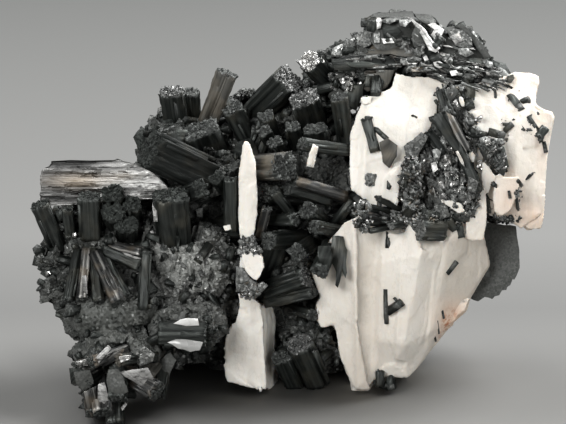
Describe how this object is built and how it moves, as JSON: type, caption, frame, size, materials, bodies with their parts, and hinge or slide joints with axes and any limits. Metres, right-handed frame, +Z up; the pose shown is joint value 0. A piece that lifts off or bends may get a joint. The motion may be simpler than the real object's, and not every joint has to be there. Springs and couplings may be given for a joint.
{
  "type": "manganite crystal specimen",
  "caption": "Mineral specimen of black striated manganite prisms grown in all directions over massive manganite, with cream tabular barite crystals, resting on a flat cut base.",
  "frame": {"origin": "middle of the bounding box, on the surface that the specimen rests on", "axes": "+X across the show side to the right, -Y towards the viewer out of the show side, +Z up"},
  "size_m": [0.1044, 0.063, 0.0695],
  "materials": {
    "manganite": "submetallic black, striated lengthwise",
    "silver_manganite": "submetallic, silvery grey and striated lengthwise",
    "granular_manganite": "rough granular black with glittering facets",
    "barite": "pearly to dull, cream white with a peach stain"
  },
  "bodies": {
    "root": {"back_left_prism": "manganite", "back_second_prism": "manganite", "band_brown_prism": "manganite", "band_long_prism": "manganite", "band_side_prisms": "manganite", "barite_chip": "barite", "barite_foot": "barite", "barite_lobe": "barite", "barite_lobe_blade": "barite", "barite_right_plate": "barite", "barite_side_tile": "barite", "barite_spire": "barite", "barite_upper_plate": "barite", "bright_end_prism": "manganite", "centre_lower_prisms": "manganite", "centre_upper_prism": "manganite", "crossbar_prism": "manganite", "crown_front_prism": "manganite", "crown_prism": "manganite", "dark_centre_prisms": "manganite", "dark_end_prism": "manganite", "fan_of_prisms": "manganite", "flat_end_prism": "manganite", "foot_cluster": "manganite", "foot_flat_prism": "manganite", "foot_tawny_prism": "manganite", "hanging_prism": "manganite", "hexagonal_prism": "manganite", "knob_prism": "manganite", "knob_side_prism": "manganite", "leaning_prism": "manganite", "left_end_prism": "manganite", "left_post_prism": "manganite", "left_short_prism": "manganite", "long_prism_pair": "manganite", "lower_end_prism": "manganite", "manganite_mass": "granular_manganite", "notched_prism": "manganite", "plate_face_prism": "manganite", "recess_large_prism": "manganite", "recess_side_prism": "manganite", "recess_upper_prism": "manganite", "right_back_block": "manganite", "rosette_knobs": "manganite", "silver_prism": "silver_manganite", "slab_edge_prism": "manganite", "small_end_prisms": "manganite", "spire_side_prism": "manganite", "split_end_prism": "manganite", "stout_end_prism": "manganite", "stout_prism": "manganite", "streaked_prisms": "manganite", "tall_prism": "manganite", "upright_prism": "manganite", "wedge_prism": "manganite", "wing_back_prism": "manganite", "wing_low_prism": "manganite", "wing_upright_prism": "manganite"}
  },
  "joints": []
}
